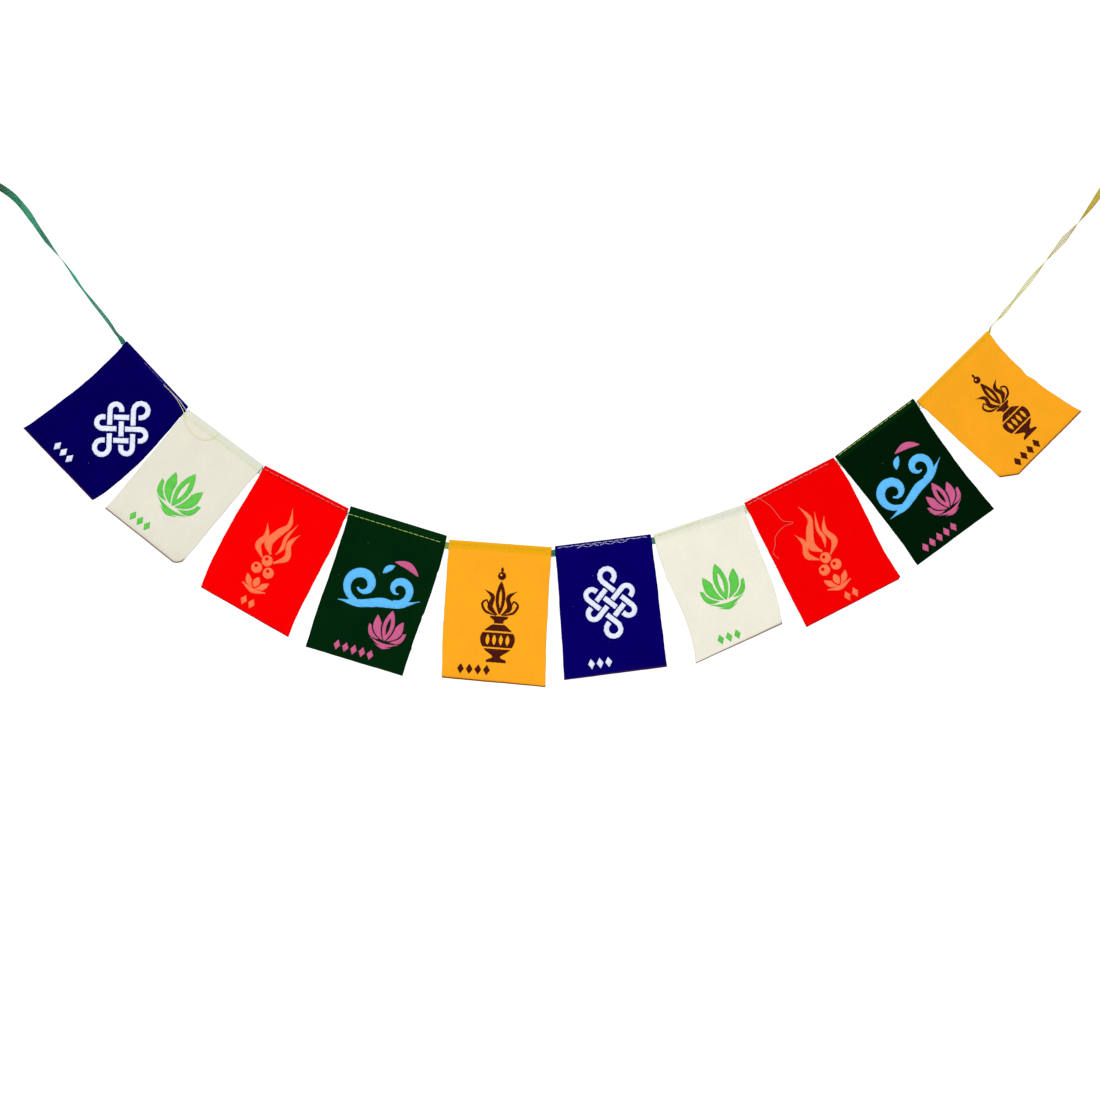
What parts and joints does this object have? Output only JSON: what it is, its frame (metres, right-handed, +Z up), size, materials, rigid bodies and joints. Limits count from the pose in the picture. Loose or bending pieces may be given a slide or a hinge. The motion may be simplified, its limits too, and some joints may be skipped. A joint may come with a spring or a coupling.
{
  "type": "string of prayer flags",
  "caption": "String of small velvet prayer flags in a fan, each hemmed over one woven ribbon that ends at both sides in a knotted hanging loop.",
  "frame": {"origin": "the crown of the left hanging loop, where the hook bears", "axes": "+X along the string to the right as seen from the front, +Y away from the viewer through the cloth, +Z up"},
  "size_m": [0.8996, 0.0164, 0.4118],
  "materials": {
    "velvet_navy": "short velvet nap, deep blue",
    "velvet_cream": "short velvet nap, warm cream",
    "velvet_red": "short velvet nap, bright red",
    "velvet_green": "short velvet nap, very dark green",
    "velvet_amber": "short velvet nap, golden amber",
    "ribbon_satin": "narrow woven ribbon, green to olive gold, soft satin gloss"
  },
  "bodies": {
    "root": {"flag_01": "velvet_navy", "flag_02": "velvet_cream", "flag_03": "velvet_red", "flag_04": "velvet_green", "flag_05": "velvet_amber", "flag_06": "velvet_navy", "flag_07": "velvet_cream", "flag_08": "velvet_red", "flag_09": "velvet_green", "flag_10": "velvet_amber", "ribbon": "ribbon_satin"}
  },
  "joints": []
}
